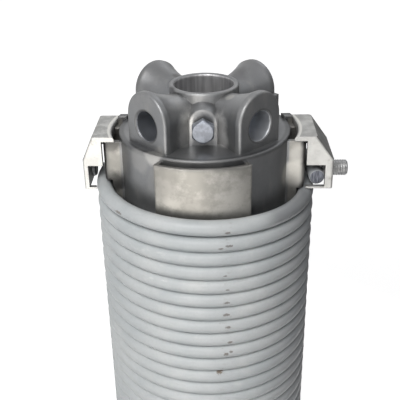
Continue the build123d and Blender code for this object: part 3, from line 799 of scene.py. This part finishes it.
def thread_radius(along, start, out, share):
    """Radius of the threaded surface at a length along the screw and a share of the full turn."""
    phase = (along / THREAD_PITCH - share) % 1.0
    groove = min(max((abs(2.0 * phase - 1.0) - 0.15) / 0.7, 0.0), 1.0)
    chamfer = SCREW_FLAT_R + min(along - start, out - along)
    return min(SCREW_R - THREAD_DEPTH * groove, chamfer)


def hexagon_radius(share):
    """Radius of the hexagon socket at a share of the full turn."""
    return SOCKET_AF / 2.0 / math.cos((share * 6.0 % 1.0 - 0.5) * math.pi / 3.0)


def screw_loops(start, out, shares):
    """Lengths along a clamp screw and the radii round it there, from its tip to the socket's floor."""
    flat = [SCREW_FLAT_R] * SCREW_SIDES
    socket = [hexagon_radius(share) for share in shares]
    rows = round((out - start) / THREAD_PITCH * THREAD_ROWS)
    loops = [(start, flat)]
    for row in range(1, rows):
        along = start + (out - start) * row / rows
        loops.append((along, [thread_radius(along, start, out, share) for share in shares]))
    return loops + [(out, flat), (out, socket), (out - SOCKET_DEPTH, socket)]


def screw_height(end):
    level = end_level(SCREW_AZIMUTHS["right"])
    return TOP_LIFT + level if end == "winding" else FIXED_ZERO - level


def clamp_screw(end, side, material):
    """Grub screw with a cut thread and an open hexagon socket."""
    angle = math.radians(SCREW_AZIMUTHS[side])
    outward = Vector((math.sin(angle), -math.cos(angle), 0.0))
    sideways = Vector((math.cos(angle), math.sin(angle), 0.0))
    middle = Vector((0.0, 0.0, screw_height(end)))
    shares = [k / SCREW_SIDES for k in range(SCREW_SIDES)]
    loops = screw_loops(screw_tip(side), SCREW_OUT_R[side], shares)
    vertices = []
    for along, radii in loops:
        for share, radius in zip(shares, radii):
            turn = 2.0 * math.pi * share
            off = (sideways * math.cos(turn) + Vector((0.0, 0.0, math.sin(turn)))) * radius
            vertices.append((outward * along + middle + off) * MM)
    name = f"{end}_clamp_screw_{side}"
    obj = new_piece(name + "_threaded", vertices, tube_faces(len(loops), SCREW_SIDES), material)
    obj.data.set_sharp_from_angle(angle=math.radians(SHARP_ANGLE))
    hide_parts(name)
    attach(obj, end)


# Camera: mm from the axis and from the winding end's zero, degrees, and the photo's pixels
CAMERA_BACK = 332.4
CAMERA_UP = 169.7
CAMERA_PITCH = 26.995
CAMERA_YAW = -0.4985
CAMERA_ROLL = -1.05
CAMERA_SWING = 1.5
FOCAL_PIXELS = 716.99
IMAGE_SIDE = 400.0
SENSOR_SIDE = 36.0


def camera_matrix():
    pitch, yaw, roll = (math.radians(angle) for angle in (CAMERA_PITCH, CAMERA_YAW, CAMERA_ROLL))
    level = math.cos(pitch)
    forward = Vector((math.sin(yaw) * level, math.cos(yaw) * level, -math.sin(pitch)))
    right = Vector((math.cos(yaw), -math.sin(yaw), 0.0))
    up = right.cross(forward)
    tilted = right * math.cos(roll) + up * math.sin(roll)
    upright = up * math.cos(roll) - right * math.sin(roll)
    matrix = Matrix((tilted, upright, -forward)).transposed().to_4x4()
    matrix.translation = Vector((0.0, -CAMERA_BACK, CAMERA_UP + TOP_LIFT)) * MM
    return Matrix.Rotation(math.radians(CAMERA_SWING), 4, "Z") @ matrix


def make_camera():
    camera = bpy.data.cameras.new("camera")
    camera.sensor_width = SENSOR_SIDE
    camera.lens = SENSOR_SIDE * FOCAL_PIXELS / IMAGE_SIDE
    camera.clip_start = 0.01
    camera.clip_end = 60.0
    obj = new_object("camera", camera)
    obj.matrix_world = camera_matrix()
    bpy.context.scene.camera = obj


# Lamps: name, azimuth, elevation, distance (m), size (m), power (W), colour, lights matt surfaces
LAMPS = (
    ("key", -16.0, 42.0, 1.3, 0.8, 15.6, (1.0, 0.985, 0.965), True),
    ("front", -22.0, -20.0, 0.62, 0.60, 2.4, (1.0, 0.95, 0.87), False),
    ("rim", 150.0, 40.0, 1.4, 0.7, 1.5, (0.94, 0.96, 1.0), True),
)
LAMP_AIM = Vector((0.0, 0.0, (TOP_LIFT + 25.0) * MM))


def make_lamp(name, azimuth, elevation, distance, size, power, colour, matt):
    light = bpy.data.lights.new(name, "AREA")
    light.shape = "DISK"
    light.size = size
    light.energy = power
    light.color = colour
    a, e = math.radians(azimuth), math.radians(elevation)
    back = Vector((math.sin(a) * math.cos(e), -math.cos(a) * math.cos(e), math.sin(e)))
    obj = new_object(name, light)
    obj.location = LAMP_AIM + back * distance
    obj.rotation_mode = "QUATERNION"
    obj.rotation_quaternion = (-back).to_track_quat("-Z", "Y")
    obj.visible_diffuse = matt
    obj.visible_camera = False


def new_square(name, corners, material):
    mesh = bpy.data.meshes.new(name)
    mesh.from_pydata(corners, [], [(0, 1, 2, 3)])
    mesh.materials.append(material)
    return new_object(name, mesh)


# Dark cards on the right, out of the picture: azimuth, distance, height of the middle, side (m), brightness
CARDS = (
    (78.0, 0.34, 0.26, 0.50, 0.25),
    (137.0, 0.34, 0.26, 0.46, 0.16),
)
CARD_COLOUR = (0.05, 0.05, 0.05)


def make_card(azimuth, distance, height, side, brightness):
    """Grey card that keeps the pale surround out of the right side's reflections."""
    t = material_tree("card")
    t.glow(t.times(t.add("LightPath").outputs["Is Glossy Ray"], brightness))
    half = side / 2.0
    corners = [(-half, 0, -half), (half, 0, -half), (half, 0, half), (-half, 0, half)]
    obj = new_square("card", corners, t.finish(CARD_COLOUR, 0.9))
    angle = math.radians(azimuth)
    obj.location = (distance * math.sin(angle), -distance * math.cos(angle), height)
    obj.rotation_euler = (0.0, 0.0, angle)
    obj.visible_camera = False


FLOOR_HALF = 20.0
FLOOR_COLOUR = (0.80, 0.80, 0.80)
FLOOR_GLOW = 0.86
WORLD_LIGHT = 0.12


def make_floor():
    """Pale matt floor that the camera and reflections see as white, with the object's shadow kept."""
    t = material_tree("floor")
    t.glow(t.times(t.seen(), FLOOR_GLOW))
    half = FLOOR_HALF
    corners = [(-half, -half, 0.0), (half, -half, 0.0), (half, half, 0.0), (-half, half, 0.0)]
    new_square("floor", corners, t.finish(FLOOR_COLOUR, 0.9))


def make_world():
    """Weak even light, which the camera and reflections see as white."""
    world = bpy.data.worlds.new("studio")
    bpy.context.scene.world = world
    t = Tree(world)
    background = t.nodes["Background"]
    t.put(background.inputs["Color"], WHITE)
    t.put(background.inputs["Strength"], t.ramp(t.seen(), 0.0, 1.0, WORLD_LIGHT, 1.0, "LINEAR"))


materials = {
    "spring_paint": paint_material(),
    "head_casting": casting_material(),
    "clip_steel": zinc_material(),
    "screw_steel": screw_material("screw_steel", SET_SCREW_TINTS),
    "bush_plastic": bush_material(),
}
dress_nodes(materials)
spring_wire(materials["spring_paint"], cut_material())
grub_steel = screw_material("grub_steel", CLAMP_SCREW_TINTS)
for end_name in ("winding", "anchor"):
    for side_name in SCREW_OUT_R:
        clamp_screw(end_name, side_name, grub_steel)
make_floor()
make_world()
for lamp in LAMPS:
    make_lamp(*lamp)
for card in CARDS:
    make_card(*card)
make_camera()
bpy.context.scene.view_settings.view_transform = "Standard"
